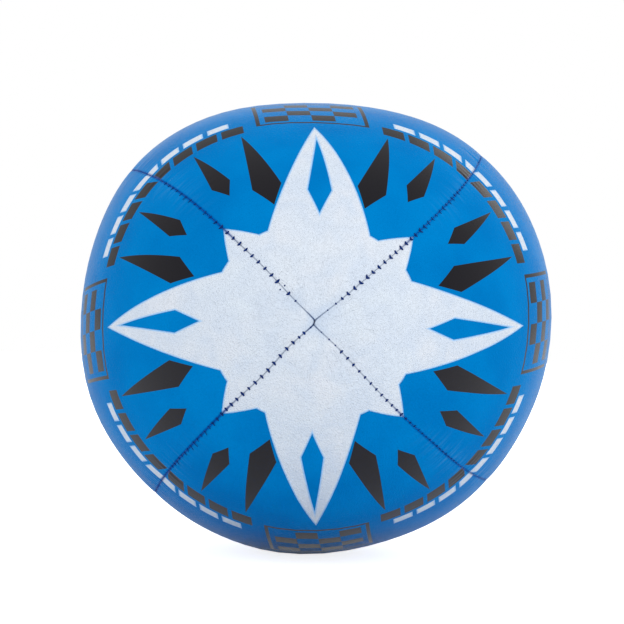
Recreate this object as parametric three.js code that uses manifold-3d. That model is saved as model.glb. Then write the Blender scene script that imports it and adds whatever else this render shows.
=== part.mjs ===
// Soft rugby ball: a sponge core in a cover of four panels, sewn together along four seams.
// Millimetres, +Z up. The long axis lies along Y and the photographed tip faces -Y. The origin
// is on the ground under the middle of the ball. Left and right are as seen facing that tip.
import * as THREE from 'three';
import Module from 'manifold-3d';

const DEG = Math.PI / 180;

// The ball as a whole
const HALF_LENGTH = 114; // along Y, from the middle to a tip
const HALF_WIDTH = 80; // along X, at the middle of the side panels
const HALF_HEIGHT = 76.5; // along Z, at the middle of the top and bottom panels
const SEAM_RISE = 1.7; // how much farther out the seams stand, because the panels are cut flat
const SEAM_LEAN_TIP = -1.5 * DEG; // how far round from an even cross the seams lie at the tips
const SEAM_LEAN_MIDDLE = 3.5 * DEG; // and at the middle of the ball, as sewing draws them
const SEAM_LEAN_POWER = 4; // how late between the two the seams turn
const REST_FLAT_DEPTH = 0.5; // depth of the flat that the ball rests on

// The cover
const COVER_THICKNESS = 1.2;
const SHOULDER_RADIUS = 1.3; // where a panel turns in at its seam
const SEAM_ALLOWANCE = 6; // how far the turned-in edge reaches below the surface
const HALF_SEAM_GAP = 0.15; // from the middle of a seam to either panel
const TIP_RADIUS = 0.6; // from the long axis to the pointed ends of the panels

// Near the tips these sizes shrink with the half width of the panel's pointed end
const TIP_SHOULDER_SHARE = 0.8;
const TIP_EDGE_SHARE = 0.55;
const TIP_ALLOWANCE_SHARE = 0.8;

// The core
const CORE_CLEARANCE = 0.3; // all round, between the core and the cover
const CORE_TIP_RADIUS = 3; // from the long axis to the core's last full section
const CORE_TIP_DEPTH = 4; // from the tip of the cover to the tip of the core

// The seam threads
const THREAD_HALF = 0.2; // half the thickness of the thread
const THREAD_RISE = 0.1; // from the surface up to the middle of the thread
const STITCH_PITCH = 2.8;
const STITCH_HALF_REACH = 0.28; // from the middle of the seam to the runs along its sides
const FIRST_STITCH = 7; // along the seam from a tip
const CLOSING_STITCHES = 5; // sewn by hand at the near end of the upper left seam
const CLOSING_GAP = 1.4; // along the seam, between the hand stitches and the machine ones
const KNOT_HALF = 0.5;
const KNOT_RISE = 0.85; // from the surface up to the middle of the knot
const KNOT_START = 0.6; // from the middle of the seam to where the knot is thickest
const KNOT_END = 1.4;
const KNOT_END_SHARE = 0.6; // its end's thickness against its greatest

// How finely the surfaces are divided
const PANEL_SEGMENTS = 10; // across a panel, between its shoulders
const SHOULDER_SEGMENTS = 3;
const TIP_ARCS = [1.8, 3.6, 7, 13, 22]; // along the seam from a tip, to the first sections
const MIDDLE_SEGMENTS = 14; // from the last of those to its match at the other tip

const QUARTER = 90 * DEG;
const EIGHTH = 45 * DEG;
const PANELS = { right: 0, top: QUARTER, left: 2 * QUARTER, bottom: 3 * QUARTER };
const SEAMS = {
  upper_right: EIGHTH,
  upper_left: QUARTER + EIGHTH,
  lower_left: 2 * QUARTER + EIGHTH,
  lower_right: 3 * QUARTER + EIGHTH,
};

// Angles are given round the long axis, from the middle of the right panel, for seams that
// make an even cross. This turns one to where it lies on the ball. Along the ball, t runs from
// 0 at the near tip to pi at the far one.
function turned(t, angle) {
  const share = Math.sin(t) ** SEAM_LEAN_POWER;
  return angle + SEAM_LEAN_TIP + (SEAM_LEAN_MIDDLE - SEAM_LEAN_TIP) * share;
}

// From the long axis to the outer surface: an oval that stands out a little at the seams.
function radiusAt(t, angle) {
  const at = turned(t, angle);
  const oval = HALF_WIDTH * Math.cos(at) ** 2 + HALF_HEIGHT * Math.sin(at) ** 2;
  return Math.sin(t) * (oval + (SEAM_RISE * (1 + Math.cos(4 * (angle - EIGHTH)))) / 2);
}

function surface(t, angle) {
  const radius = radiusAt(t, angle);
  const at = turned(t, angle);
  return new THREE.Vector3(
    radius * Math.cos(at),
    -HALF_LENGTH * Math.cos(t),
    radius * Math.sin(at),
  );
}

function inward(t, angle) {
  const step = 1e-4;
  const along = surface(t + step, angle).sub(surface(t - step, angle));
  const round = surface(t, angle + step).sub(surface(t, angle - step));
  return along.cross(round).normalize().negate();
}

// The seam's own directions: across it towards greater angles, and straight into the ball.
function seamFrame(t, angle) {
  const at = turned(t, angle);
  const across = new THREE.Vector3(-Math.sin(at), 0, Math.cos(at));
  const into = inward(t, angle);
  into.addScaledVector(across, -into.dot(across)).normalize();
  return { point: surface(t, angle), across, into };
}

function placed(frame, offset, depth) {
  return frame.point
    .clone()
    .addScaledVector(frame.across, offset)
    .addScaledVector(frame.into, depth);
}

// Lengths along a seam, to put sections and stitches at real distances from the tip.
const ARC_STEPS = 4000;
const arcTable = [0];
for (let i = 1; i <= ARC_STEPS; i += 1) {
  const before = surface(((i - 1) * Math.PI) / ARC_STEPS, EIGHTH);
  const here = surface((i * Math.PI) / ARC_STEPS, EIGHTH);
  arcTable.push(arcTable[i - 1] + here.distanceTo(before));
}
const SEAM_LENGTH = arcTable[ARC_STEPS];

function atArc(arc) {
  let low = 0;
  let high = ARC_STEPS;
  while (high - low > 1) {
    const middle = Math.floor((low + high) / 2);
    if (arcTable[middle] <= arc) low = middle;
    else high = middle;
  }
  const share = (arc - arcTable[low]) / (arcTable[high] - arcTable[low]);
  return ((low + share) * Math.PI) / ARC_STEPS;
}

function sectionArcs(first) {
  const tip = [first, ...TIP_ARCS.filter((arc) => arc > first)];
  const start = tip[tip.length - 1];
  const span = SEAM_LENGTH - 2 * start;
  const middle = [];
  for (let i = 1; i < MIDDLE_SEGMENTS; i += 1) middle.push(start + (span * i) / MIDDLE_SEGMENTS);
  return [...tip, ...middle, ...tip.map((arc) => SEAM_LENGTH - arc).reverse()];
}

// The sizes of a panel's turned-in edge at a section, smaller where the panel is narrow.
function edgeSizes(t) {
  const half = radiusAt(t, EIGHTH) * Math.sin(EIGHTH) - HALF_SEAM_GAP;
  const turned = Math.min(SEAM_ALLOWANCE - COVER_THICKNESS, TIP_ALLOWANCE_SHARE * half);
  return {
    shoulder: Math.min(SHOULDER_RADIUS, TIP_SHOULDER_SHARE * half),
    edge: Math.min(COVER_THICKNESS, TIP_EDGE_SHARE * half),
    depth: COVER_THICKNESS + turned,
  };
}

function angleBeside(t, seamAngle, offset) {
  return seamAngle + Math.asin(offset / radiusAt(t, seamAngle));
}

// The angles of the points across a panel, from shoulder to shoulder, ends included.
function crownAngles(t, panelAngle) {
  const offset = HALF_SEAM_GAP + edgeSizes(t).shoulder;
  const from = angleBeside(t, panelAngle - EIGHTH, offset);
  const to = angleBeside(t, panelAngle + EIGHTH, -offset);
  const angles = [];
  for (let i = 0; i <= PANEL_SEGMENTS; i += 1) {
    angles.push(from + ((to - from) * i) / PANEL_SEGMENTS);
  }
  return angles;
}

function below(t, angle, depth) {
  return surface(t, angle).addScaledVector(inward(t, angle), depth);
}

// One edge of a panel's section, from the bottom of the turned-in edge up and over the
// shoulder, and its inner side. The side is -1 at the lower angle and 1 at the higher one.
function panelEdge(t, panelAngle, side) {
  const seamAngle = panelAngle + side * EIGHTH;
  const frame = seamFrame(t, seamAngle);
  const { shoulder, edge, depth } = edgeSizes(t);
  const outer = [placed(frame, -side * HALF_SEAM_GAP, depth)];
  for (let i = 0; i < SHOULDER_SEGMENTS; i += 1) {
    const turn = (QUARTER * i) / SHOULDER_SEGMENTS;
    const offset = HALF_SEAM_GAP + shoulder * (1 - Math.cos(turn));
    const point = surface(t, angleBeside(t, seamAngle, -side * offset));
    outer.push(point.addScaledVector(frame.into, shoulder * (1 - Math.sin(turn))));
  }
  const reach = -side * (HALF_SEAM_GAP + edge);
  const inner = [placed(frame, reach, COVER_THICKNESS), placed(frame, reach, depth)];
  return { outer, inner };
}

function panelSection(t, panelAngle) {
  const low = panelEdge(t, panelAngle, -1);
  const high = panelEdge(t, panelAngle, 1);
  const crown = crownAngles(t, panelAngle);
  const inside = crown.slice(1, -1).reverse();
  return [
    ...low.outer,
    ...crown.map((angle) => surface(t, angle)),
    ...high.outer.reverse(),
    ...high.inner.reverse(),
    ...inside.map((angle) => below(t, angle, COVER_THICKNESS)),
    ...low.inner,
  ];
}

// The core's section goes right round the ball, with a slot at each seam for the turned-in
// edges of two panels.
function coreSection(t) {
  const { edge, depth } = edgeSizes(t);
  const slot = HALF_SEAM_GAP + edge + CORE_CLEARANCE;
  const top = COVER_THICKNESS + CORE_CLEARANCE;
  const bottom = depth + CORE_CLEARANCE;
  const points = [];
  for (const panelAngle of Object.values(PANELS)) {
    const low = seamFrame(t, panelAngle - EIGHTH);
    const high = seamFrame(t, panelAngle + EIGHTH);
    const crown = crownAngles(t, panelAngle).slice(1, -1);
    points.push(
      placed(low, slot, bottom),
      placed(low, slot, top),
      ...crown.map((angle) => below(t, angle, top)),
      placed(high, -slot, top),
      placed(high, -slot, bottom),
    );
  }
  return points;
}

function signedVolume(points, faces) {
  let total = 0;
  for (const [a, b, c] of faces) {
    total += points[a].dot(points[b].clone().cross(points[c])) / 6;
  }
  return total;
}

// A closed body from sections with equal numbers of points and the faces that close its ends.
function loft(sections, endFaces, extraPoints = []) {
  const count = sections[0].length;
  const points = [...sections.flat(), ...extraPoints];
  const faces = [...endFaces];
  for (let s = 0; s + 1 < sections.length; s += 1) {
    for (let i = 0; i < count; i += 1) {
      const a = s * count + i;
      const b = s * count + ((i + 1) % count);
      faces.push([a, b, b + count], [a, b + count, a + count]);
    }
  }
  const inverted = signedVolume(points, faces) < 0;
  const geometry = new THREE.BufferGeometry();
  geometry.setAttribute('position', new THREE.Float32BufferAttribute(
    points.flatMap((point) => point.toArray()), 3,
  ));
  geometry.setIndex(faces.flatMap(([a, b, c]) => (inverted ? [a, c, b] : [a, b, c])));
  return geometry;
}

// The faces that close a panel's two narrow ends, found in a flat drawing of the section.
// There the outer side is an arch with its feet at height 0, and the inner side lies under it.
function panelEnds(sections) {
  const count = sections[0].length;
  const outerCount = 2 * (SHOULDER_SEGMENTS + 1) + PANEL_SEGMENTS + 1;
  const innerCount = count - outerCount;
  const width = outerCount - 1;
  const footWidth = 0.5;
  const drawing = [];
  for (let i = 0; i < outerCount; i += 1) {
    const fromEnd = Math.min(i, width - i);
    drawing.push(new THREE.Vector2(i, Math.min(fromEnd, SHOULDER_SEGMENTS + 1)));
  }
  drawing.push(new THREE.Vector2(width - footWidth, 0));
  for (let i = 1; i < innerCount - 1; i += 1) {
    drawing.push(new THREE.Vector2(width * (1 - (i + 1) / (innerCount + 1)), 1));
  }
  drawing.push(new THREE.Vector2(footWidth, 0));
  const flat = THREE.ShapeUtils.triangulateShape(drawing, []);
  const last = (sections.length - 1) * count;
  return [
    ...flat,
    ...flat.map(([a, b, c]) => [last + a, last + c, last + b]),
  ];
}

function panelGeometry(panelAngle) {
  const arcs = sectionArcs(TIP_RADIUS);
  const sections = arcs.map((arc) => panelSection(atArc(arc), panelAngle));
  return loft(sections, panelEnds(sections));
}

function coreGeometry() {
  const sections = sectionArcs(CORE_TIP_RADIUS).map((arc) => coreSection(atArc(arc)));
  const count = sections[0].length;
  const last = (sections.length - 1) * count;
  const tipY = HALF_LENGTH - CORE_TIP_DEPTH;
  const tips = [new THREE.Vector3(0, -tipY, 0), new THREE.Vector3(0, tipY, 0)];
  const near = sections.length * count;
  const ends = [];
  for (let i = 0; i < count; i += 1) {
    const next = (i + 1) % count;
    ends.push([near, next, i], [near + 1, last + i, last + next]);
  }
  return loft(sections, ends, tips);
}

// A thread that crosses the seam at each stitch and runs along its side between stitches,
// with a square section and mitred corners. A knot, where there is one, ends it.
function threadGeometry(seamAngle, arcs, withKnot) {
  const sections = [];
  let side = -1;
  arcs.forEach((arc, i) => {
    const frame = seamFrame(atArc(arc), seamAngle);
    const along = frame.into.clone().cross(frame.across);
    // Square to the stitch that crosses, and, where the thread turns, midway to the next run.
    const square = along.multiplyScalar(side);
    const mitred = square.clone().add(frame.across);
    const before = i === 0 ? square : mitred;
    const after = i === arcs.length - 1 ? square : mitred;
    const reach = STITCH_HALF_REACH;
    sections.push(threadSection(frame, side * reach, THREAD_RISE, THREAD_HALF, before));
    side = -side;
    sections.push(threadSection(frame, side * reach, THREAD_RISE, THREAD_HALF, after));
    if (withKnot && i === arcs.length - 1) {
      sections.push(
        threadSection(frame, side * KNOT_START, KNOT_RISE, KNOT_HALF, square),
        threadSection(frame, side * KNOT_END, KNOT_RISE, KNOT_HALF * KNOT_END_SHARE, square),
      );
    }
  });
  const end = (sections.length - 1) * 4;
  return loft(sections, [[0, 2, 1], [0, 3, 2], [end, end + 1, end + 2], [end, end + 2, end + 3]]);
}

function threadSection(frame, offset, rise, half, sideways) {
  const centre = placed(frame, offset, -rise);
  const corner = (side, height) => centre
    .clone()
    .addScaledVector(sideways, side * half)
    .addScaledVector(frame.into, height * half);
  return [corner(1, 1), corner(1, -1), corner(-1, -1), corner(-1, 1)];
}

function evenStitches(from, count) {
  return Array.from({ length: count }, (_, i) => from + i * STITCH_PITCH);
}

const wasm = await Module();
wasm.setup();

function toSolid(geometry) {
  return new wasm.Manifold(new wasm.Mesh({
    numProp: 3,
    vertProperties: new Float32Array(geometry.attributes.position.array),
    triVerts: new Uint32Array(geometry.index.array),
  }));
}

function toGeometry(solid) {
  const mesh = solid.getMesh();
  const geometry = new THREE.BufferGeometry();
  geometry.setAttribute('position', new THREE.BufferAttribute(mesh.vertProperties, 3));
  geometry.setIndex(new THREE.BufferAttribute(mesh.triVerts, 1));
  return geometry;
}

// Keeps what lies above the ground.
function cutFlat(geometry) {
  const room = 3 * HALF_LENGTH;
  const block = wasm.Manifold.cube([room, room, room], true).translate([0, 0, room / 2]);
  return toGeometry(toSolid(geometry).intersect(block));
}

const group = new THREE.Group();
group.name = 'rugby_ball';

const FINISHES = {
  cover: { color: 0x0a7fcb, roughness: 0.5, metalness: 0 },
  thread: { color: 0x1b2a86, roughness: 0.7, metalness: 0 },
  sponge: { color: 0xf0e2a6, roughness: 0.95, metalness: 0 },
};

function add(name, geometry, finish) {
  geometry.computeVertexNormals();
  const mesh = new THREE.Mesh(geometry, new THREE.MeshStandardMaterial(FINISHES[finish]));
  mesh.name = name;
  group.add(mesh);
}

// Everything is made round the middle of the ball, which then goes up to its height at rest.
const middleHeight = HALF_HEIGHT - REST_FLAT_DEPTH;
add('sponge_core', coreGeometry().translate(0, 0, middleHeight), 'sponge');

for (const [name, angle] of Object.entries(PANELS)) {
  const panel = panelGeometry(angle).translate(0, 0, middleHeight);
  add(`cover_panel_${name}`, name === 'bottom' ? cutFlat(panel) : panel, 'cover');
}

function addThread(name, seamAngle, arcs, withKnot) {
  add(name, threadGeometry(seamAngle, arcs, withKnot).translate(0, 0, middleHeight), 'thread');
}

const handStitches = evenStitches(FIRST_STITCH, CLOSING_STITCHES);
const handEnd = FIRST_STITCH + CLOSING_STITCHES * STITCH_PITCH;
for (const [name, angle] of Object.entries(SEAMS)) {
  const start = name === 'upper_left' ? handEnd + CLOSING_GAP : FIRST_STITCH;
  const count = Math.floor((SEAM_LENGTH - FIRST_STITCH - start) / STITCH_PITCH) + 1;
  addThread(`seam_thread_${name}`, angle, evenStitches(start, count), false);
}
addThread('closing_stitch', SEAMS.upper_left, handStitches, true);

export default group;
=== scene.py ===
import math
import random

import bpy
import numpy as np
from mathutils import Matrix, Vector


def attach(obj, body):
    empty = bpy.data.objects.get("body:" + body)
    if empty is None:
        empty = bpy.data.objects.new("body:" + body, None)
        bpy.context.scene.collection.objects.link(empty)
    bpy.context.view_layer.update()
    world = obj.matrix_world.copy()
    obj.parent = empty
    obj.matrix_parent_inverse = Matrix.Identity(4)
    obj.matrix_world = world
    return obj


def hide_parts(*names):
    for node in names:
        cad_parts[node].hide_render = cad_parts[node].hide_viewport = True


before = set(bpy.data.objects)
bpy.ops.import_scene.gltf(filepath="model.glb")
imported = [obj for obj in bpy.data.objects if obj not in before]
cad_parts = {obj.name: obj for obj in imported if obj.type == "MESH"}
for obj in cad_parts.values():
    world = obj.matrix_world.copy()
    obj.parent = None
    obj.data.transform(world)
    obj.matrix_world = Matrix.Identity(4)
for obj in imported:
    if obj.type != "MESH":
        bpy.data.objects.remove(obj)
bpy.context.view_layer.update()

# The sponge core: one ovoid cut or moulded from open-celled foam, soft enough to squeeze in
# one hand. Four slots in it are where the turned-in edges of the cover press into the foam.
# Lengths are in millimetres round the middle of the ball, and the long axis lies along Y.
PER_METRE = 1000
HALF_LENGTH, HALF_WIDTH, HALF_HEIGHT = 114.0, 80.0, 76.5
BOTTOM_FULLNESS, REST_FLAT_DEPTH, REST_SOFTNESS = 1.85, 0.5, 0.25
MIDDLE_HEIGHT = HALF_HEIGHT + BOTTOM_FULLNESS - REST_FLAT_DEPTH
# The form is fuller at the seams than between them.
SEAM_RISE = 1.7
QUARTER, EIGHTH = math.pi / 2, math.pi / 4
# How many eighths of a turn round the axis each seam lies, and how the cross of all four
# leans at the tips and at the middle.
SEAMS = {"upper_right": 1, "upper_left": 3, "lower_left": 5, "lower_right": 7}
LEAN_TIP, LEAN_MIDDLE, LEAN_POWER = math.radians(-1.5), math.radians(3.5), 4
# How far each seam strays from its even place, in degrees, on the way from a tip to the belly.
STRAY_AT = (0, 7, 14, 25, 40, 60, 90)
STRAY = {
    "upper_right": (-1.9, -1.9, -1.9, -1.8, -1.5, -1.7, -2.0),
    "upper_left": (-0.6, -0.6, -0.3, 1.3, 1.9, 2.7, 3.2),
    "lower_left": (0.2, 0.8, 3.8, 2.1, 1.6, 0.4, -0.7),
    "lower_right": (1.3, 1.0, 0.4, 0.7, 1.4, 0.9, 0.6),
}
STEPS_PER_DEGREE, ROUNDED_DEGREES = 2, 8
# Unevenness of the stuffed outline: waves round the ball, height in mm, and where they crest.
WAVES = ((2, 0.2, 50), (3, 1.0, 23), (4, 0.3, 24), (5, 0.4, -18), (6, 0.3, 12), (7, 0.1, 0))
# The foam swells a little round the flat that it lies on: height in mm, where, and how widely.
SWELL, SWELL_AT, SWELL_REACH = 0.6, math.radians(-86), 0.26
# The upper two seams and the lower two don't quite meet at a tip: the side panels are joined
# for a short way between them. Half of its height and of its lean, and its reach.
TIP_JOINT_HALF, TIP_JOINT_LEAN, TIP_JOINT_REACH, TIP_JOINT_SHARPNESS = 0.67, 0.18, 7.0, 3


def smooth_table(degrees_at, values):
    """A table as a curve from 0 to 90 degrees, with its corners rounded."""
    margin = STEPS_PER_DEGREE * ROUNDED_DEGREES
    steps = np.arange(-margin, 90 * STEPS_PER_DEGREE + margin + 1)
    fine = np.interp(steps / STEPS_PER_DEGREE, degrees_at, values)
    window = np.hanning(margin + 3)[1:-1]
    return np.convolve(fine, window / window.sum(), "same")[margin:-margin]


STRAY_CURVES = {name: np.radians(smooth_table(STRAY_AT, v)) for name, v in STRAY.items()}


def turned(t, angle):
    """Where a point of the even cross of seams lies round the ball; t runs from 0 to pi."""
    bent = angle + LEAN_TIP + (LEAN_MIDDLE - LEAN_TIP) * np.sin(t) ** LEAN_POWER
    steps = np.degrees(np.minimum(t, math.pi - t)) * STEPS_PER_DEGREE
    for name, eighths in SEAMS.items():
        near = np.maximum(np.cos(angle - eighths * EIGHTH), 0.0) ** 2
        curve = STRAY_CURVES[name]
        bent = bent + near * np.interp(steps, np.arange(len(curve)), curve)
    return bent


def radius_at(t, angle):
    """Distance of the cover's outer surface from the long axis, 0 at both tips."""
    at = turned(t, angle)
    oval = HALF_WIDTH * np.cos(at) ** 2 + HALF_HEIGHT * np.sin(at) ** 2
    seam = SEAM_RISE * (1 + np.cos(4 * (angle - EIGHTH))) / 2
    uneven = sum(h * np.cos(n * (at - math.radians(a))) for n, h, a in WAVES)
    uneven = uneven + SWELL * np.exp((np.cos(at - SWELL_AT) - 1) / SWELL_REACH**2)
    return np.sin(t) * (oval + seam + uneven * np.sin(t) ** 2)


def surface(t, angle):
    """Points of the cover's outer surface, round the middle of the ball."""
    t, angle = np.broadcast_arrays(np.asarray(t, float), np.asarray(angle, float))
    radius, at = radius_at(t, angle), turned(t, angle)
    from_tip = HALF_WIDTH * np.minimum(t, math.pi - t)
    split = np.tanh(TIP_JOINT_SHARPNESS * np.sin(at))
    split = split * np.exp(-((from_tip / TIP_JOINT_REACH) ** 2))
    x = radius * np.cos(at) + TIP_JOINT_LEAN * split
    z = radius * np.sin(at) + TIP_JOINT_HALF * split
    return np.stack([x, -HALF_LENGTH * np.cos(t), z], -1)


def outward(t, angle):
    """The outward direction of the surface, from its slope both ways."""
    step = 1e-3
    along = surface(np.asarray(t) + step, angle) - surface(np.asarray(t) - step, angle)
    round_ = surface(t, np.asarray(angle) + step) - surface(t, np.asarray(angle) - step)
    n = np.cross(along, round_)
    return n / np.linalg.norm(n, axis=-1, keepdims=True)


def seam_frame(t, angle):
    """A seam's points, the direction across it and the outward one."""
    at = turned(t, np.broadcast_to(angle, np.shape(t)))
    across = np.stack([-np.sin(at), np.zeros_like(at), np.cos(at)], -1)
    out = outward(t, angle)
    out = out - across * (out * across).sum(-1, keepdims=True)
    return surface(t, angle), across, out / np.linalg.norm(out, axis=-1, keepdims=True)


# Distances from the near tip along a seam, over fine steps of t.
FINE_T = np.linspace(0, math.pi, 6001)
FINE_STEPS = np.linalg.norm(np.diff(surface(FINE_T, EIGHTH), axis=0), axis=1)
FINE_ARCS = np.concatenate([[0], np.cumsum(FINE_STEPS)])
SEAM_LENGTH = float(FINE_ARCS[-1])


def at_arc(arc):
    return np.interp(arc, FINE_ARCS, FINE_T)


def to_tip(arc):
    """Distance from the nearer tip along a seam."""
    return np.minimum(arc, SEAM_LENGTH - arc)


def ease(value, start, end):
    """0 before start and 1 after end, smoothly."""
    share = np.clip((np.asarray(value, float) - start) / (end - start), 0, 1)
    return share * share * (3 - 2 * share)


def between(start, end, share):
    return start + (end - start) * share


def settle(points):
    """The part that would sink into the ground lies flat on it instead, with a soft edge."""
    z = points[..., 2] + MIDDLE_HEIGHT
    softened = REST_SOFTNESS * np.log1p(np.exp(np.clip(z / REST_SOFTNESS, -40, 40)))
    z = np.where(z < 4 * REST_SOFTNESS, softened, z)
    return np.concatenate([points[..., :2], z[..., None]], -1)


def mesh_object(name, points, faces, layers=()):
    """A piece from points in mm round the middle of the ball. A layer is a named number at
    each point."""
    mesh = bpy.data.meshes.new(name)
    mesh.from_pydata((settle(points) / PER_METRE).tolist(), [], faces)
    for label, values in layers:
        layer = mesh.attributes.new(label, "FLOAT", "POINT")
        layer.data.foreach_set("value", np.asarray(values, np.float32))
    mesh.polygons.foreach_set("use_smooth", [True] * len(mesh.polygons))
    mesh.update()
    piece = bpy.data.objects.new(name, mesh)
    bpy.context.scene.collection.objects.link(piece)
    return piece


def loft(sections):
    """Faces between closed sections of equal length, and the two faces that end them."""
    rows, count = sections.shape[:2]
    i, j = np.meshgrid(np.arange(rows - 1), np.arange(count), indexing="ij")
    a, b = i * count + j, i * count + (j + 1) % count
    sides = np.stack([a, b, b + count, a + count], -1).reshape(-1, 4)
    first, last = list(range(count)), list(range((rows - 1) * count, rows * count))
    # The faces look outward: seen from inside, their sum of volumes would be negative.
    ring = sections[rows // 2]
    ahead = sections[rows // 2 + 1].mean(0) - sections[rows // 2 - 1].mean(0)
    wound = np.cross(ring - ring.mean(0), np.roll(ring, -1, 0) - ring.mean(0)).sum(0)
    if wound @ ahead > 0:
        return sides.tolist() + [first[::-1], last]
    return sides[:, ::-1].tolist() + [first, last[::-1]]


def srgb(code):
    """A colour written as sRGB hex, as the linear numbers that shaders take."""
    parts = [int(code[i : i + 2], 16) / 255 for i in (1, 3, 5)]
    return [c / 12.92 if c <= 0.04045 else ((c + 0.055) / 1.055) ** 2.4 for c in parts] + [1.0]


def material(name):
    made = bpy.data.materials.new(name)
    made.use_nodes = True
    return made, made.node_tree, made.node_tree.nodes["Principled BSDF"]


def node(tree, kind, *inputs, **named):
    """Adds a node and gives its first output. The inputs come in order or by name, as
    numbers, colours or outputs of other nodes. A name that isn't an input is a setting."""
    made = tree.nodes.new("ShaderNode" + kind)
    for key, value in [*enumerate(inputs), *named.items()]:
        if isinstance(key, str) and key not in made.inputs:
            setattr(made, key, value)
        elif isinstance(value, bpy.types.NodeSocket):
            tree.links.new(value, made.inputs[key])
        else:
            made.inputs[key].default_value = value
    return made.outputs[0]


def foam_material():
    """Open-celled polyurethane foam, cream that has yellowed a little in patches: matt, and
    pitted all over by cells of about 1 and 3 mm."""
    made, tree, shader = material("open_celled_foam")
    place = node(tree, "TexCoord").node.outputs["Object"]
    # A pattern's scale is how many of its cells go into a metre: 0.9 and 0.35 to a millimetre.
    cells = node(tree, "TexVoronoi", Vector=place, Scale=0.9 * PER_METRE)
    big_cells = node(tree, "TexVoronoi", Vector=place, Scale=0.35 * PER_METRE)
    pores = node(tree, "Math", cells, big_cells, operation="MINIMUM")
    stain = node(tree, "TexNoise", Vector=place, Scale=0.018 * PER_METRE, Detail=4.0)
    # The pits of the cells are painted darker: painted shade in them. The yellowed patches vary
    # it too.
    shade = node(tree, "Math", pores, 0.5, 0.1, operation="MULTIPLY_ADD")
    shade = node(tree, "Math", stain, 0.5, shade, operation="MULTIPLY_ADD")
    colour = node(tree, "MixRGB", shade, srgb("#C9AE5E"), srgb("#F6EABB"))
    tree.links.new(colour, shader.inputs["Base Color"])
    bump = node(tree, "Bump", Height=pores, Distance=0.0006, Strength=0.8)
    tree.links.new(bump, shader.inputs["Normal"])
    shader.inputs["Roughness"].default_value = 0.95
    return made


COVER_THICKNESS, CORE_CLEARANCE = 1.2, 0.3
SLOT_DEPTH, SLOT_HALF, SLOT_RIM = 6.3, 1.65, 1.2
CORE_START, CORE_EVEN_FROM, CORE_TIP_DEPTH = 4.5, 14.0, 4.0
CORE_TIP_ROWS, CORE_ROWS, CORE_COLUMNS = 8, 80, 20
# Towards the tips the seams close up, and the slots keep these shares of the room there.
SLOT_SHARE, DEPTH_SHARE, RIM_SHARE = 0.6, 0.7, 0.15


def core_piece():
    near = np.geomspace(CORE_START, CORE_EVEN_FROM, CORE_TIP_ROWS)[:-1]
    even = np.linspace(CORE_EVEN_FROM, SEAM_LENGTH - CORE_EVEN_FROM, CORE_ROWS)
    t = at_arc(np.concatenate([near, even, SEAM_LENGTH - near[::-1]]))
    radius = radius_at(t, EIGHTH)
    room = radius * math.sin(EIGHTH)
    top = COVER_THICKNESS + CORE_CLEARANCE
    slot = np.minimum(SLOT_HALF, SLOT_SHARE * room)
    rim = np.minimum(SLOT_RIM, RIM_SHARE * room)
    depth = top + np.minimum(SLOT_DEPTH - top, DEPTH_SHARE * room)
    edge = np.arcsin((slot + rim) / radius)
    # A slot's wall, up to its rounded rim: distances from the seam and depths.
    wall = [(slot, depth), (slot, top + 2 * rim), (slot + 0.2 * rim, top + 0.7 * rim)]
    columns = []
    for quarter in range(4):
        low, high = quarter * QUARTER - EIGHTH, quarter * QUARTER + EIGHTH
        for side, seam in ((1, low), (-1, high)):
            point, across, out = seam_frame(t, seam)
            walls = [
                point + across * (side * offset)[:, None] - out * down[:, None]
                for offset, down in wall
            ]
            columns += walls[::side]
            if side == 1:
                for share in np.linspace(0, 1, CORE_COLUMNS):
                    angle = low + edge + (QUARTER - 2 * edge) * share
                    columns.append(surface(t, angle) - outward(t, angle) * top)
    sections = np.stack(columns, 1)
    faces = loft(sections)
    # A blunt point closes each end.
    rings, faces = faces[-2:], faces[:-2]
    tip = HALF_LENGTH - CORE_TIP_DEPTH
    points = np.concatenate([sections.reshape(-1, 3), [[0, -tip, 0], [0, tip, 0]]])
    for point, ring in enumerate(rings, len(points) - 2):
        faces += [[a, b, point] for a, b in zip(ring, ring[1:] + ring[:1])]
    piece = mesh_object("foam_core", points, faces)
    piece.data.materials.append(foam_material())
    return piece


foam_core = core_piece()
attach(foam_core, "root")
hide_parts("sponge_core")


# The cover: four panels of thin synthetic leather on a knitted backing, printed flat, cut
# like orange peel, sewn face to face and turned out, so that their edges stand inward.
# They are stretched tight over the core, and the skin puckers a little at each stitch.
PANELS = {"right": 0, "top": 2, "left": 4, "bottom": 6}
SEAM_ALLOWANCE = 6.0
# Half of the gap at a seam, and how far the skin rounds over into it.
HALF_GAP, SHOULDER = 0.012, 0.17
# Towards the tips, where the seams close up, the edges keep these shares of the room.
GAP_SHARE, SHOULDER_SHARE, THICKNESS_SHARE, ALLOWANCE_SHARE = 0.25, 0.4, 0.5, 0.7
# The mesh has rows across a panel, which stand closer near the tips, and columns along it.
ROW_START, ROW_STEP = 7.0, 0.7
NEAR_TIP_ROWS = (0.12, 0.45, 0.8, 1.3, 1.9, 2.6, 3.4, 4.2, 5.0, 5.7, 6.4)
HALF_COLUMNS, COLUMN_GROWTH = 24, 3.2
SHOULDER_STEPS, BELOW_SHOULDER, INNER_COLUMNS, INNER_START = 4, 0.4, 12, 1.3
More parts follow.
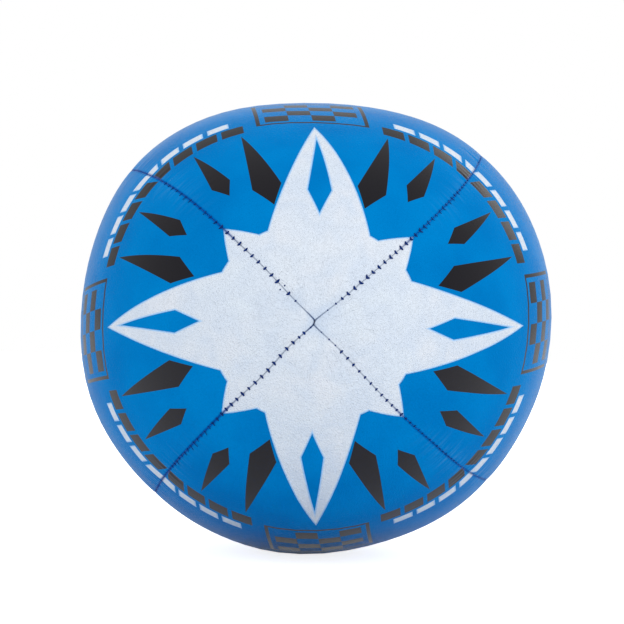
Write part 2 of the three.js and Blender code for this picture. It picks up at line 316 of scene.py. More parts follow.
# Each seam's stitches near the tip: distance from it in mm and how fully each one shows.
# The rest follow at a pitch in mm, which drifts on the way out, and show as the last number
# says. The machine's pitch is 2.8 mm, and the panels stretched unevenly under it.
STITCHES = {
    "upper_right": (((4.9, 0.35), (8.05, 0.45), (10.5, 0.75), (12.85, 0.9)), (2.62, 2.56), 1.0),
    "upper_left": (((8.1, 0.5), (11.1, 0.95), (16.25, 1.25), (19.0, 1.0)), (3.05, 3.2), 0.95),
    "lower_left": (
        ((1.2, 0.3), (3.75, 0.8), (5.75, 0.8), (8.15, 0.9), (10.9, 0.95)),
        (2.98, 2.68), 0.95,
    ),
    "lower_right": (((3.2, 0.25), (6.3, 0.35), (8.85, 0.35), (11.5, 0.75)), (2.78, 2.48), 0.7),
}
# Where the pitch drifts, and how near to the far tip the last stitch lies.
PITCH_DRIFTS, LAST_STITCH = (26, 44), 10
# How hard a stitch pulls, and how many pulls are drawn: more than a seam has stitches.
PULLS, PULL_COUNT = (0.2, 1.7), 130
# Puckers at the stitches reach further, and vary more, on the outer part of a seam.
PUCKER_DEPTH, PUCKER_SLANT, PUCKERS_START = 0.11, 0.02, (2, 16)
PUCKER_REACH, OUTER_PUCKER_REACH, OUTER_PART = 1.4, 5.0, (38, 62)
OUTER_DEEPER, OUTER_PULLS = 0.3, (0.4, 1.2)
# Longer folds run out from each seam, at a slant, and widen a little on the way.
FOLDS, FOLDS_START, FOLD_STRENGTHS = 60, 30, (0.3, 1.4)
FOLD_DEPTH, FOLD_REACH, FOLD_SLANT, FOLD_HALF, FOLD_SPREAD = 0.08, 6.0, 0.3, 0.9, 0.1
# All along a seam the thread draws the skin in.
DRAW_IN, DRAW_REACH = 0.14, 1.6
# Beside the outer part of each seam, where the pull creases the skin, a painted highlight
# lies in pale streaks, this strongly.
STREAK_HIGHLIGHT = {"upper_right": 0.6, "upper_left": 0.55, "lower_left": 0.3, "lower_right": 1.0}
PALE_PART, PALE_REACH, PALE_PULLED_REACH = (46, 74), 1.6, 2.6
# How strongly each seam's line is painted with its stain and its painted shadow.
SEAM_SHADE = {"upper_right": 0.7, "upper_left": 0.95, "lower_left": 1.0, "lower_right": 0.75}
LUMP_WAVES, LUMP_HEIGHT, LUMP_SIZES, CALM_POWER = 9, 0.055, (5.5, 13), 6


def stitch_arcs(name):
    """Where a seam's stitches lie, from the near tip to the far one, in mm."""
    head, pitches, _ = STITCHES[name]
    arcs = [arc for arc, _ in head]
    while arcs[-1] < SEAM_LENGTH - LAST_STITCH:
        arcs.append(arcs[-1] + between(*pitches, float(ease(arcs[-1], *PITCH_DRIFTS))))
    return np.array(arcs)


STITCH_ARCS = {name: stitch_arcs(name) for name in SEAMS}


def seam_unevenness(name):
    """How hard each stitch of a seam pulls, and where longer folds run out from it."""
    draw = random.Random("pull of " + name)
    pulls = np.array([draw.uniform(*PULLS) for _ in range(PULL_COUNT)])
    folds = [
        (draw.uniform(FOLDS_START, SEAM_LENGTH - FOLDS_START), draw.choice((-1, 1)),
         draw.uniform(*FOLD_STRENGTHS), draw.uniform(-FOLD_SLANT, FOLD_SLANT))
        for _ in range(FOLDS)
    ]
    return pulls, folds


UNEVENNESS = {name: seam_unevenness(name) for name in SEAMS}


def stitches_before(name, arc):
    """How many stitches, and parts of one, lie between the near tip and a place on a seam."""
    return np.interp(arc, STITCH_ARCS[name], np.arange(len(STITCH_ARCS[name])))


def seam_dents(name, side, arc, off):
    """How far the skin lies below the smooth form at a distance off a seam, in mm."""
    pulls, folds = UNEVENNESS[name]
    outer = ease(to_tip(arc), *OUTER_PART)
    stitch = stitches_before(name, arc)
    pull = np.interp(stitch, np.arange(PULL_COUNT), pulls)
    wave = 0.5 + 0.5 * np.cos(2 * math.pi * (stitch + PUCKER_SLANT * side * off))
    reach = between(PUCKER_REACH, OUTER_PUCKER_REACH, outer * np.clip(pull, *OUTER_PULLS))
    depth = PUCKER_DEPTH * (1 + OUTER_DEEPER * outer)
    dent = depth * pull * wave * np.exp(-((off / reach) ** 2))
    for at, way, strength, slant in folds:
        if way == side:
            far = (arc - at - slant * off) / (FOLD_HALF + FOLD_SPREAD * off)
            dent = dent + FOLD_DEPTH * strength * np.exp(-(far**2) - (off / FOLD_REACH) ** 2)
    return dent * ease(to_tip(arc), *PUCKERS_START) + DRAW_IN * np.exp(-(off / DRAW_REACH))


def painted_streak_highlight(name, side, arc, off):
    """Painted highlight in pale streaks beside a seam, by the pull of its stitches, 0 to 1."""
    # One side takes the pulls from their other end, so that the two sides differ.
    pulls = UNEVENNESS[name][0][::-side]
    pull = np.interp(stitches_before(name, arc), np.arange(PULL_COUNT), pulls)
    near = np.exp(-((off / (PALE_REACH + PALE_PULLED_REACH * pull)) ** 2))
    return STREAK_HIGHLIGHT[name] * near * ease(to_tip(arc), *PALE_PART)


def lumps(points):
    """Slow unevenness of the stuffed skin, in mm, from crossing waves 35 to 80 mm long."""
    draw = random.Random("lumps")
    total = np.zeros(points.shape[:-1])
    for _ in range(LUMP_WAVES):
        way = np.array([draw.gauss(0, 1) for _ in range(3)])
        way /= np.linalg.norm(way) * draw.uniform(*LUMP_SIZES)
        total += LUMP_HEIGHT * np.sin(points @ way + draw.uniform(0, 2 * math.pi))
    return total


def panel_piece(label, eighths):
    middle = eighths * EIGHTH
    near_tip = np.array(NEAR_TIP_ROWS)
    rows = int(round((SEAM_LENGTH - 2 * ROW_START) / ROW_STEP))
    even = np.linspace(ROW_START, SEAM_LENGTH - ROW_START, rows + 1)
    arcs = np.concatenate([near_tip, even, SEAM_LENGTH - near_tip[::-1]])
    t = at_arc(arcs)
    seam_names = {number: name for name, number in SEAMS.items()}
    low_seam, high_seam = seam_names[(eighths - 1) % 8], seam_names[(eighths + 1) % 8]
    half_width = radius_at(t, middle) * EIGHTH
    radius = radius_at(t, EIGHTH)
    room = radius * math.sin(EIGHTH)
    gap = np.minimum(HALF_GAP, GAP_SHARE * room)
    shoulder = np.minimum(SHOULDER, SHOULDER_SHARE * room)
    thickness = np.minimum(COVER_THICKNESS, THICKNESS_SHARE * room)
    below_cover = np.minimum(SEAM_ALLOWANCE - COVER_THICKNESS, ALLOWANCE_SHARE * room)
    foot = COVER_THICKNESS + below_cover
    inner_depths = (foot, COVER_THICKNESS + 0.5 * below_cover,
                    np.full(t.shape, COVER_THICKNESS + BELOW_SHOULDER))
    start = np.arcsin((gap + shoulder) / radius)
    columns, from_seam, from_middle, paleness, shade = [], [], [], [], []

    def add(points, off, lateral, pale=0.0):
        """A column of the mesh, with its distances from the seam and the panel's middle."""
        columns.append(points)
        from_seam.append(np.broadcast_to(off, t.shape))
        from_middle.append(np.broadcast_to(lateral, t.shape))
        paleness.append(np.broadcast_to(pale, t.shape))
        nearest = low_seam if np.mean(lateral) < 0 else high_seam
        shade.append(np.full(t.shape, SEAM_SHADE[nearest]))

    def edge_columns(side, name):
        """The turned-in edge: its outer side from the foot up over the shoulder, with each
        column's distance from the seam, and its inner side."""
        point, across, out = seam_frame(t, middle + side * EIGHTH)
        into = -side * across
        dent = seam_dents(name, side, arcs, 0.0)
        made = [
            (point + into * gap[:, None] - out * (depth + dent)[:, None], 0.0)
            for depth in (foot, 0.5 * (foot + shoulder), shoulder + BELOW_SHOULDER)
        ]
        for k in range(SHOULDER_STEPS):
            turn = QUARTER * k / SHOULDER_STEPS
            off = shoulder * (1 - math.cos(turn))
            drop = shoulder * (1 - math.sin(turn)) + seam_dents(name, side, arcs, off)
            angle = middle + side * (EIGHTH - np.arcsin((gap + off) / radius))
            made.append((surface(t, angle) - outward(t, angle) * drop[:, None], off))
        inner = [
            point + into * (gap + thickness)[:, None] - out * depth[:, None]
            for depth in inner_depths
        ]
        return made, inner

    low, low_inner = edge_columns(-1, low_seam)
    high, high_inner = edge_columns(1, high_seam)
    for points, off in low:
        add(points, off, -half_width)
    # The skin's columns stand closer together towards its two seams.
    steps = np.linspace(0, 1, HALF_COLUMNS + 1)
    spread = (np.exp(COLUMN_GROWTH * steps) - 1) / (math.exp(COLUMN_GROWTH) - 1) / 2
    for share in np.concatenate([spread, 1 - spread[-2::-1]]):
        place = (EIGHTH - start) * (2 * share - 1)
        base = surface(t, middle + place)
        low_off, high_off = (half_width * (1 + w * place / EIGHTH) for w in (1, -1))
        beside = ((low_seam, -1, arcs, low_off), (high_seam, 1, arcs, high_off))
        calm = np.sin(t) * (1 - abs(2 * share - 1) ** CALM_POWER)
        rise = lumps(base) * calm - sum(seam_dents(*seam) for seam in beside)
        skin = base + outward(t, middle + place) * rise[:, None]
        pale = sum(painted_streak_highlight(*seam) for seam in beside)
        add(skin, np.minimum(low_off, high_off), half_width * place / EIGHTH, pale)
    for points, off in high[::-1]:
        add(points, off, half_width)
    outer = len(columns)
    for points in high_inner:
        add(points, 0.0, half_width)
    for share in np.linspace(1, -1, INNER_COLUMNS):
        angle = middle + (EIGHTH - INNER_START * start) * share
        inside = surface(t, angle) - outward(t, angle) * COVER_THICKNESS
        add(inside, half_width * (1 - abs(share)), half_width * share)
    for points in low_inner[::-1]:
        add(points, 0.0, -half_width)
    sections = np.stack(columns, 1)
    count = sections.shape[1]
    layers = (
        ("from_tip", (to_tip(arcs)[:, None] + np.zeros(count)).ravel()),
        ("from_middle", np.stack(from_middle, 1).ravel()),
        ("from_seam", np.stack(from_seam, 1).ravel()),
        ("painted_streak_highlight", np.stack(paleness, 1).ravel()),
        ("seam_shade", np.stack(shade, 1).ravel()),
        ("half_width", (half_width[:, None] + np.zeros(count)).ravel()),
    )
    points = sections.reshape(-1, 3)
    piece = mesh_object(f"printed_panel_{label}", points, loft(sections), layers)
    # The faces inside are the knitted backing, and the last two faces are the ends.
    numbers = np.arange(len(piece.data.polygons))
    inner = (numbers % count >= outer) & (numbers < (len(arcs) - 1) * count)
    piece.data.polygons.foreach_set("material_index", inner.astype(np.int32))
    return piece


def printed_material():
    """Polyurethane-coated synthetic leather with a fine pressed grain, printed in flat inks.
    The blue and the white are satin, and the black ink is glossier and pale at the rims."""
    made, tree, shader = material("printed_synthetic_leather")

    # The print is drawn over the flat panel in mm: along from the nearer tip, across from the
    # panel's middle. A shape is the distance outside its edge, and less than 0 inside it. A
    # MapRange goes from its first two numbers to its last two.
    layers = {
        label: node(tree, "Attribute", attribute_name=label).node.outputs["Fac"]
        for label in ("from_tip", "from_middle", "half_width", "from_seam", "painted_streak_highlight",
                      "seam_shade")
    }
    along, lateral, half_width = (
        layers[label] for label in ("from_tip", "from_middle", "half_width")
    )
    across = node(tree, "Math", lateral, operation="ABSOLUTE")
    to_seam = node(tree, "Math", half_width, across, operation="SUBTRACT")

    def spike(off, start, end, half):
        """A long triangle, half wide each side of its line at start and pointed at end."""
        width = node(tree, "MapRange", along, start, end, half, 0.0, clamp=False)
        side = node(tree, "Math", off, width, operation="SUBTRACT")
        foot = node(tree, "Math", start, along, operation="SUBTRACT")
        return node(tree, "Math", side, foot, operation="MAXIMUM")

    def blade(off, start, widest, end, half):
        """A slender shape that is pointed at both ends."""
        rising = node(tree, "MapRange", along, start, widest, 0.0, half, clamp=False)
        falling = node(tree, "MapRange", along, widest, end, half, 0.0, clamp=False)
        width = node(tree, "Math", rising, falling, operation="MINIMUM")
        return node(tree, "Math", off, width, operation="SUBTRACT")

    def beside(share):
        """Distance from a line that keeps its share of the panel's width."""
        line = node(tree, "Math", half_width, share, operation="MULTIPLY")
        off = node(tree, "Math", across, line, operation="SUBTRACT")
        return node(tree, "Math", off, operation="ABSOLUTE")

    def band(value, middle, half):
        """A band of a value, half wide each side of its middle."""
        off = node(tree, "Math", value, middle, operation="SUBTRACT")
        off = node(tree, "Math", off, operation="ABSOLUTE")
        return node(tree, "Math", off, half, operation="SUBTRACT")

    def blocks(middle, half, first, step=8.0, half_gap=0.7, count=4):
        """A row of blocks on each side of the chequered patch, of which the first begins at a
        distance from the panel's middle."""
        place = node(tree, "Math", across, first, operation="SUBTRACT")
        to_gap = node(tree, "Math", place, step / 2, operation="PINGPONG")
        shape = node(tree, "Math", half_gap, to_gap, operation="SUBTRACT")
        width = count * step / 2
        for limit in (band(along, middle, half), band(place, width, width)):
            shape = node(tree, "Math", shape, limit, operation="MAXIMUM")
        return shape

    def chequer(value, start, square=7.0):
        """Crosses 0 at start and at every square from there."""
        value = node(tree, "Math", value, square / 2 - start, operation="ADD")
        value = node(tree, "Math", value, square, operation="PINGPONG")
        return node(tree, "Math", value, square / 2, operation="SUBTRACT")

    # The white: a star of eight points round the tip with blue inlays, and a row of blocks.
    inlay = blade(across, start=37.0, widest=47.0, end=76.0, half=3.4)
    white = node(tree, "Math", along, 33.0, operation="SUBTRACT")
    for point in (spike(across, start=28.0, end=87.0, half=16.5),
                  spike(to_seam, start=28.0, end=43.0, half=9.0)):
        white = node(tree, "Math", white, point, operation="MINIMUM")
    outside_inlay = node(tree, "Math", inlay, -1.0, operation="MULTIPLY")
    white = node(tree, "Math", white, outside_inlay, operation="MAXIMUM")
    row = blocks(middle=99.0, half=2.7, first=24.0)
    white = node(tree, "Math", white, row, operation="MINIMUM")

    # The black: blades between the points, a row of blocks, and the chequered patch on the
    # belly of each panel with a thin frame round it.
    patch = node(tree, "Math", band(across, 0.0, half=14.0), band(along, 108.0, half=14.0),
                 operation="MAXIMUM")
    squares = node(tree, "Math", chequer(lateral, start=0.0), chequer(along, start=94.0),
                   operation="MULTIPLY")
    black = node(tree, "Math", patch, squares, operation="MAXIMUM")
    for shape in (blade(beside(0.45), start=42.0, widest=51.0, end=85.0, half=4.3),
                  blade(beside(0.76), start=53.0, widest=60.0, end=85.0, half=3.0),
                  blocks(middle=91.0, half=3.6, first=20.0),
                  band(patch, 2.2, half=0.6)):
        black = node(tree, "Math", black, shape, operation="MINIMUM")

    # 1 inside each ink and 0 outside it, over a narrow edge.
    ink_edge = 0.07
    in_white, in_black = (
        node(tree, "MapRange", shape, -ink_edge, ink_edge, 1.0, 0.0) for shape in (white, black)
    )

    # The blue and the white vary slowly, over about 20 mm.
    place = node(tree, "TexCoord").node.outputs["Object"]
    cloud = node(tree, "TexNoise", Vector=place, Scale=PER_METRE / 20, Detail=2.0)
    cloud = node(tree, "MapRange", cloud, 0.33, 0.67, 0.0, 1.0)
    blue = node(tree, "MixRGB", cloud, srgb("#007AC3"), srgb("#0084CD"))
    # Fine creases about 1.3 mm apart run across the outer parts of the seams, and the light on
    # them is painted in as pale streaks: a painted highlight. They are ten times as long, and
    # their scale is in mm because the layers are.
    flat = node(tree, "Math", lateral, 0.1, operation="MULTIPLY")
    flat = node(tree, "CombineXYZ", along, flat)
    streaks = node(tree, "TexNoise", Vector=flat, Scale=0.75, Detail=2.0)
    streaks = node(tree, "MapRange", streaks, 0.45, 0.72, 0.0, 1.0)
    streak_highlight = node(tree, "Math", streaks, layers["painted_streak_highlight"], operation="MULTIPLY")
    streak_highlight = node(tree, "Math", streak_highlight, 0.2, operation="MULTIPLY")
    blue = node(tree, "MixRGB", streak_highlight, blue, srgb("#6FB4E6"))
    # Soft patches about 8 mm apart are painted darker and bluer on the white: painted shade,
    # as in shallow hollows where the skin gives a little.
    hollow_shade = node(tree, "TexNoise", Vector=place, Scale=PER_METRE / 8, Detail=1.0,
                   Distortion=0.5)
    hollow_shade = node(tree, "MapRange", hollow_shade, 0.32, 0.68, 0.0, 1.0)
    pale = node(tree, "MixRGB", cloud, srgb("#E5EEF6"), srgb("#EAEFF5"))
    pale = node(tree, "MixRGB", hollow_shade, pale, srgb("#DFE9F4"))
    # The white ink thins out at its edges, and the blue under it shows through.
    thinned = node(tree, "MapRange", white, -0.7, 0.0, 0.0, 1.0)
    pale = node(tree, "MixRGB", thinned, pale, srgb("#86C9FF"))
    # Beside the seams near the tips the skin dips, unevenly, and is softly shaded.
    dip = node(tree, "MapRange", layers["from_seam"], 0.2, 4.0, 1.0, 0.0)
    for fading in (node(tree, "MapRange", along, 2.0, 17.0, 1.0, 0.0),
                   node(tree, "MapRange", hollow_shade, 0.2, 0.8, 0.0, 0.3)):
        dip = node(tree, "Math", dip, fading, operation="MULTIPLY")
    pale = node(tree, "MixRGB", dip, pale, srgb("#B4CBE6"))
    colour = node(tree, "MixRGB", in_black, blue, srgb("#0F0D15"))
    colour = node(tree, "MixRGB", in_white, colour, pale)
    # Beside the needle line the skin is stained by the thread, and the seam's shadow is painted
    # in with the stain: painted shadow, wider and stronger on the blue than on the white star.
    width = node(tree, "MapRange", along, 34.0, 42.0, 0.34, 0.75)
    stain = node(tree, "Math", layers["from_seam"], width, operation="DIVIDE")
    stain = node(tree, "MapRange", stain, 0.15, 1.0, 1.0, 0.0)
    strength = node(tree, "MapRange", along, 34.0, 40.0, 0.42, 0.9)
    at_tip = node(tree, "MapRange", along, 0.5, 5.0, 0.72, 0.0)
    strength = node(tree, "Math", strength, at_tip, operation="ADD", use_clamp=True)
    strength = node(tree, "Math", strength, layers["seam_shade"], operation="MULTIPLY")
    stain = node(tree, "Math", stain, strength, operation="MULTIPLY")
    on_blue = node(tree, "MapRange", along, 34.0, 40.0, 0.0, 1.0)
    shadow = node(tree, "MixRGB", on_blue, srgb("#043B78"), srgb("#00489E"))
    colour = node(tree, "MixRGB", stain, colour, shadow)
    # The grain takes the ink unevenly, in specks drawn 0.4 mm wide, because finer ones
    # wouldn't show.
    specks = node(tree, "TexNoise", Vector=place, Scale=2.3 * PER_METRE, Detail=2.0)
    value = node(tree, "MapRange", specks, 0.3, 0.7, 0.95, 1.05)
    colour = node(tree, "HueSaturation", Value=value, Color=colour)
    tree.links.new(colour, shader.inputs["Base Color"])

    # Grain cells of 0.5 mm, drawn a little deeper than they are, and faint creases of about
    # 2.4 mm, which are strongest near the tips.
    grain = node(tree, "TexVoronoi", Vector=place, Scale=PER_METRE / 0.5, feature="SMOOTH_F1")
    crease = node(tree, "TexNoise", Vector=place, Scale=0.42 * PER_METRE, Detail=3.0,
                  Distortion=0.8)
    depth = node(tree, "MapRange", along, 0.0, 40.0, 1.3, 0.6)
    crease = node(tree, "Math", crease, depth, operation="MULTIPLY")
    height = node(tree, "Math", grain, 1.6, crease, operation="MULTIPLY_ADD")
    # Drag creases fan out from each tip between the seams, seven to a half panel and 8 mm
    # long, and are gone 40 mm from it.
    share = node(tree, "Math", lateral, half_width, operation="DIVIDE")
    fan = node(tree, "CombineXYZ", node(tree, "Math", share, 7.0, operation="MULTIPLY"),
               node(tree, "Math", along, 0.12, operation="MULTIPLY"))
    fan = node(tree, "TexNoise", Vector=fan, Scale=1.0, Detail=2.0, Distortion=0.8)
    near = node(tree, "MapRange", along, 3.0, 12.0, 0.0, 2.6)
    far = node(tree, "MapRange", along, 16.0, 40.0, 1.0, 0.0)
    depth = node(tree, "Math", near, far, operation="MULTIPLY")
    height = node(tree, "Math", fan, depth, height, operation="MULTIPLY_ADD")
    # The white keeps its grain, and the blue and the black inks fill most of theirs.
    relief = node(tree, "MapRange", in_white, 0.0, 1.0, 0.3, 1.0)
    height = node(tree, "Math", height, relief, operation="MULTIPLY")
    bump = node(tree, "Bump", Height=height, Distance=0.00026, Strength=0.9)
    tree.links.new(bump, shader.inputs["Normal"])
    rough = node(tree, "MapRange", cloud, 0.0, 1.0, 0.42, 0.5)
    tree.links.new(rough, shader.inputs["Roughness"])
    shader.inputs["Specular IOR Level"].default_value = 0.0
    shader.inputs["Sheen Weight"].default_value = 0.5
    shader.inputs["Sheen Roughness"].default_value = 0.2
    gloss = node(tree, "Math", in_black, 0.32, operation="MULTIPLY")
    tree.links.new(gloss, shader.inputs["Coat Weight"])
    shader.inputs["Coat Roughness"].default_value = 0.3
    return made


def backing_material():
    """Knitted polyester, white, with loops of about 1 mm: matt and a little hairy."""
    made, tree, shader = material("knitted_backing")
    place = node(tree, "TexCoord").node.outputs["Object"]
    # A wave takes 0.31 / Scale of a metre, which is 1.2 mm here.
    loops = node(tree, "TexWave", Vector=place, Scale=0.26 * PER_METRE, Distortion=2.0)
    fluff = node(tree, "TexNoise", Vector=place, Scale=1.2 * PER_METRE, Detail=3.0)
    # The knit is painted darker between its loops: painted shade in the troughs.
    colour = node(tree, "MixRGB", loops, srgb("#D8D6CE"), srgb("#F1EFE8"))
    tree.links.new(colour, shader.inputs["Base Color"])
    height = node(tree, "Math", loops, fluff, operation="ADD")
    bump = node(tree, "Bump", Height=height, Distance=0.0002, Strength=0.5)
    tree.links.new(bump, shader.inputs["Normal"])
    shader.inputs["Roughness"].default_value = 0.9
    return made


printed, backing = printed_material(), backing_material()
for label, eighths in PANELS.items():
    panel = panel_piece(label, eighths)
    panel.data.materials.append(printed)
    panel.data.materials.append(backing)
    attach(panel, "root")
    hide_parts(f"cover_panel_{label}")


# The seam threads: navy polyester, lockstitched from inside. The filled cover pulls each seam
# a little open, so that every stitch shows as a small V with its point towards the near tip,
# and runs back under the skin. Further out they sink into the seam.
# Near the tips the stitches are thick bars, and further out thin ticks.
BAR_RADIUS, THIN_RADIUS, THREAD_SIDES, END_NARROWS = 0.32, 0.095, 8, 0.4
BAR_REACH, HIDDEN_REACH, THIN_LEAN = 0.58, 0.22, 0.54
# Where the stitches grow thin, and where they go on to hide in the seam, in mm from a tip.
THIN_PART, HIDDEN_PART = (40, 52), (72, 94)
# How far the arms of a V lean away from the near tip, in mm: some seams show plain bars.
BAR_LEAN = {"upper_right": 0.34, "upper_left": 0.34, "lower_left": 0.16, "lower_right": 0.2}
# On each seam the further ticks reach to one side more than to the other: the two in mm.
TICK_REACH = {
    "upper_right": (1.0, 0.5),
    "upper_left": (0.5, 1.0),
    "lower_left": (0.35, 1.35),
    "lower_right": (0.15, 0.85),
}
# An arm of a V, from its foot under the skin to the seam: shares of its reach and mm added,
# shares of its lean, heights in mm, and thickness.
ARM = (
    (0.0, 0.3, 0.0, -1.3, 1.0),
    (1.0, 0.05, 1.0, -0.45, 0.8),
    (1.0, 0.0, 1.0, -0.08, 0.8),
    (0.72, 0.0, 0.6, 0.03, 0.95),
    (0.36, 0.0, 0.2, 0.05, 1.05),
)
V_POINT = (0.0, -0.06, 0.05, 1.1)
# Between two stitches the thread crosses back under the skin, at these shares of the way.
RUN_SHARES, RUN_OFF, RUN_HEIGHT, RUN_RADIUS = (0.3, 0.7), 0.3, -1.7, 0.14
# How deep a stitch lies, and what a weak, a hidden and a thin one adds to it, in mm.
SUNK, WEAK_SUNK, HIDDEN_SUNK, THIN_SUNK = 0.16, 0.25, 0.3, -0.1
# How much the stitches differ in size, in the reach of their ticks and arms, and in lean.
SIZES, TICKS, REACHES, LEANS = (0.88, 1.12), (0.4, 1.3), (0.85, 1.15), (0.3, 1.5)
WEAKEST_THICKNESS = 0.6


def thread_material():
    """Twisted polyester thread, about 0.6 mm thick, dyed navy: soft sheen, and a fine slanting
    twist that shows only from near."""
    made, tree, shader = material("twisted_polyester_thread")
    place = node(tree, "TexCoord").node.outputs["Object"]
    # A slanting wave takes 0.36 / Scale of a metre, which is 0.26 mm here.
    twist = node(tree, "TexWave", Vector=place, Scale=1.4 * PER_METRE, Distortion=1.0,
                 bands_direction="DIAGONAL")
    # The twist is painted darker in its grooves and lighter on its ridges: painted shade and
    # light.
    colour = node(tree, "MixRGB", twist, srgb("#0D214F"), srgb("#173A82"))
    tree.links.new(colour, shader.inputs["Base Color"])
    bump = node(tree, "Bump", Height=twist, Distance=0.0001, Strength=0.5)
    tree.links.new(bump, shader.inputs["Normal"])
    shader.inputs["Roughness"].default_value = 0.7
    shader.inputs["Specular IOR Level"].default_value = 0.03
    shader.inputs["Sheen Weight"].default_value = 0.4
    shader.inputs["Sheen Roughness"].default_value = 0.4
    shader.inputs["Sheen Tint"].default_value = srgb("#8C9BF0")
    return made


def tube(path, radius):
    """Sections of a thread along a path, narrowed at its two ends."""
    ahead = np.gradient(path, axis=0)
    ahead /= np.linalg.norm(ahead, axis=1, keepdims=True)
    side = np.cross(ahead, path)
    side /= np.linalg.norm(side, axis=1, keepdims=True)
    up = np.cross(side, ahead)
    turn = np.linspace(0, 2 * math.pi, THREAD_SIDES, endpoint=False)[None, :, None]
    width = np.array(np.broadcast_to(radius, len(path)))
    width[[0, -1]] *= END_NARROWS
    ring = np.cos(turn) * side[:, None] + np.sin(turn) * up[:, None]
    return path[:, None] + ring * width[:, None, None]


def stitch_path(name, arcs, sizes):
    """The path and radius of a thread: over the seam in a V at each of arcs, and back under
    the skin between them."""
    draw = random.Random("stitches " + name)
    stations = []
    for i, (arc, size) in enumerate(zip(arcs, sizes)):
        thin = float(ease(to_tip(arc), *THIN_PART))
        hidden = float(ease(to_tip(arc), *HIDDEN_PART))
        size *= draw.uniform(*SIZES)
        radius = between(BAR_RADIUS, THIN_RADIUS, thin) * between(WEAKEST_THICKNESS, 1, size)
        sunk = SUNK + WEAK_SUNK * max(0.0, 1 - size) + HIDDEN_SUNK * hidden + THIN_SUNK * thin
        for way, tick in zip((-1, 1), TICK_REACH[name]):
            tick *= draw.uniform(*TICKS)
            reach = between(between(BAR_REACH, tick, thin), HIDDEN_REACH, hidden)
            reach *= size * draw.uniform(*REACHES)
            lean = between(BAR_LEAN[name], THIN_LEAN, thin) * size * draw.uniform(*LEANS)
            arm = [
                (share * reach + added, lean_share * lean, height, thick)
                for share, added, lean_share, height, thick in ARM
            ]
            if way == 1:
                arm = [V_POINT] + arm[::-1]
            for off, ahead, height, thick in arm:
                stations.append((arc + ahead, way * off, height - sunk, radius * thick))
        if i + 1 < len(arcs):
            for share in RUN_SHARES:
                ahead, off = between(arc, arcs[i + 1], share), RUN_OFF * (1 - 2 * share)
                stations.append((ahead, off, RUN_HEIGHT, RUN_RADIUS))
    at, offsets, heights, radii = np.array(stations).T
    point, across, out = seam_frame(at_arc(at), SEAMS[name] * EIGHTH)
    return point + across * offsets[:, None] + out * heights[:, None], radii


def thread_piece(label, replaced, name, arcs, sizes, extra=()):
    points, faces, base = [], [], 0
    for path, radius in [stitch_path(name, arcs, sizes), *extra]:
        sections = tube(path, radius)
        faces += [[base + i for i in face] for face in loft(sections)]
        points.append(sections.reshape(-1, 3))
        base += sections.shape[0] * sections.shape[1]
    piece = mesh_object(label, np.concatenate(points), faces)
    piece.data.materials.append(thread)
    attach(piece, "root")
    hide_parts(replaced)


thread = thread_material()
for name, (head, _, full) in STITCHES.items():
    arcs = STITCH_ARCS[name]
    sizes = [size for _, size in head] + [full] * (len(arcs) - len(head))
    # The hand-sewn end of the upper left seam is a piece of its own, below.
    first = len(head) if name == "upper_left" else 0
    thread_piece(f"stitching_{name}", f"seam_thread_{name}", name, arcs[first:], sizes[first:])


# The closing stitches: after the core went in, the near end of the upper left seam was sewn
# by hand from outside. One stitch is missed, and its two thread ends show beside the seam.
HAND_STITCHES = STITCHES["upper_left"][0]
# Each thread end: its distance from the seam, the heights that it runs between, and its lean.
MISSED_AT, STUB_OFFSETS, STUB_RADIUS = 13.8, (-0.8, 1.05), 0.29
STUB_HEIGHTS = np.linspace(-0.8, 0.12, 5)[:, None]
STUB_LEAN_OUT, STUB_LEAN = 0.1, np.array([0.08, 0, -0.08])

missed = at_arc(np.array([MISSED_AT]))
point, across, out = (v[0] for v in seam_frame(missed, SEAMS["upper_left"] * EIGHTH))
stubs = []
for off in STUB_OFFSETS:
    lean = across * math.copysign(STUB_LEAN_OUT, off) + STUB_LEAN
    path = point + across * off + out * STUB_HEIGHTS + lean * np.maximum(STUB_HEIGHTS, 0)
    stubs.append((path, STUB_RADIUS))
thread_piece("closing_hand_stitches", "closing_stitch", "upper_left",
             [arc for arc, _ in HAND_STITCHES], [size for _, size in HAND_STITCHES], stubs)


# The floor and the light: a plain white table in an evenly lit white room, as in a product
# photograph, with one soft lamp high on the right and one behind the ball.
TABLE_HALF, TABLE_CELLS = 6.0, 24


def seen_or_mirrored(tree):
    """1 where the camera, a reflection or glass looks, and 0 for the light on the object."""
    path = node(tree, "LightPath").node.outputs
    seen = node(tree, "Math", path["Is Camera Ray"], path["Is Glossy Ray"], operation="MAXIMUM")
    return node(tree, "Math", seen, path["Is Transmission Ray"], operation="MAXIMUM")


def table_piece():
    mesh = bpy.data.meshes.new("floor")
    grid = np.linspace(-TABLE_HALF, TABLE_HALF, TABLE_CELLS + 1)
    points = [(x, y, 0.0) for y in grid for x in grid]
    row = TABLE_CELLS + 1
    corners = [j * row + i for j in range(TABLE_CELLS) for i in range(TABLE_CELLS)]
    mesh.from_pydata(points, [], [(c, c + 1, c + row + 1, c + row) for c in corners])
    made, tree, shader = material("white_laminate_table")
    shader.inputs["Base Color"].default_value = srgb("#F7F7F7")
    shader.inputs["Roughness"].default_value = 0.8
    shader.inputs["Specular IOR Level"].default_value = 0.1
    # To the eye it glows a little, so that it looks as white as the room.
    glow = node(tree, "Emission", Color=srgb("#FFFFFF"), Strength=0.82)
    dark = node(tree, "Emission", Strength=0.0)
    chosen = node(tree, "MixShader", seen_or_mirrored(tree), dark, glow)
    glowing = node(tree, "AddShader", shader.outputs[0], chosen)
    tree.links.new(glowing, tree.nodes["Material Output"].inputs["Surface"])
    mesh.materials.append(made)
    table = bpy.data.objects.new("floor", mesh)
    bpy.context.scene.collection.objects.link(table)
    return table


table_piece()

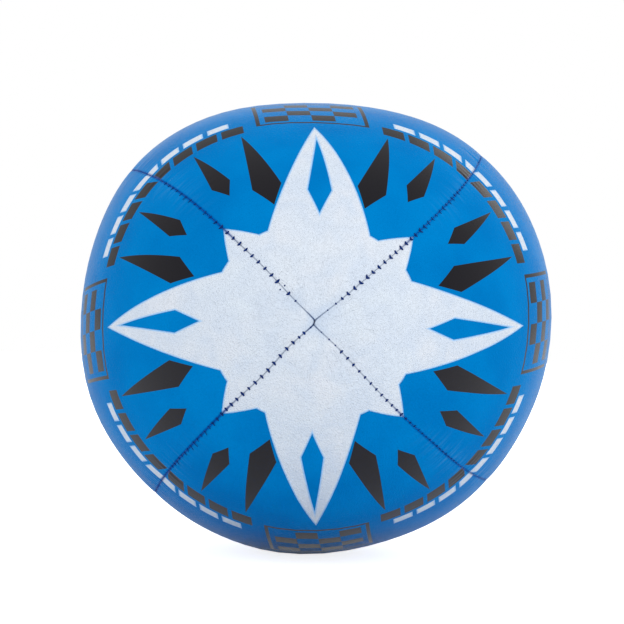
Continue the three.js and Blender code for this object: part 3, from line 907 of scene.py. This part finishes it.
world = bpy.data.worlds.new("white_room")
bpy.context.scene.world = world
world.use_nodes = True
tree = world.node_tree
room = node(tree, "Background", Color=srgb("#F8FAFF"), Strength=0.96)
white_room = node(tree, "Background", Color=srgb("#FFFFFF"), Strength=1.0)
chosen = node(tree, "MixShader", seen_or_mirrored(tree), room, white_room)
tree.links.new(chosen, tree.nodes["World Output"].inputs["Surface"])


LIT_PLACE = Vector((0, 0, 0.08))


def lamp(name, place, size, watts):
    """A round soft box that is aimed at the middle of the ball."""
    data = bpy.data.lights.new(name, "AREA")
    data.shape, data.size, data.energy = "DISK", size, watts
    made = bpy.data.objects.new(name, data)
    made.location = place
    made.rotation_euler = (LIT_PLACE - made.location).to_track_quat("-Z", "Y").to_euler()
    bpy.context.scene.collection.objects.link(made)


lamp("soft_box_right", place=(0.9, -1.1, 1.3), size=1.3, watts=3.4)
lamp("soft_box_behind", place=(0.8, 1.3, 0.8), size=0.9, watts=4.5)

# The camera looks at the near tip from 0.87 m, about level with the ball's middle. Its place,
# aim and roll put the ball where it lies in the photo, and its lens makes it as large.
PIXELS, BALL_PIXELS, MEAN_RADIUS = 624, 232.8, 0.0791
DISTANCE, RIGHT, UP = 0.87, 0.0009, -0.0025
AIM_PIXELS_RIGHT, AIM_PIXELS_UP, ROLL_DEGREES = -2.9, 11.6, 1.2
SENSOR = 36.0
# An ovoid seen from its tip looks as wide as a disc of its middle radius at this distance.
disc_distance = math.sqrt(DISTANCE**2 - (HALF_LENGTH / PER_METRE) ** 2)
focal_pixels = BALL_PIXELS / MEAN_RADIUS * disc_distance
camera_data = bpy.data.cameras.new("camera")
camera_data.sensor_width = SENSOR
camera_data.lens = SENSOR * focal_pixels / PIXELS
camera = bpy.data.objects.new("camera", camera_data)
bpy.context.scene.collection.objects.link(camera)
bpy.context.scene.camera = camera
ball_middle = Vector((0, 0, MIDDLE_HEIGHT / PER_METRE))
camera.location = ball_middle + Vector((RIGHT, -DISTANCE, UP))
aim = Vector((AIM_PIXELS_RIGHT, 0, AIM_PIXELS_UP)) * (DISTANCE / focal_pixels)
look = (ball_middle + aim - camera.location).to_track_quat("-Z", "Y").to_matrix().to_4x4()
roll = Matrix.Rotation(math.radians(ROLL_DEGREES), 4, "Z")
camera.rotation_euler = (look @ roll).to_euler()

bpy.context.scene.view_settings.view_transform = "Standard"
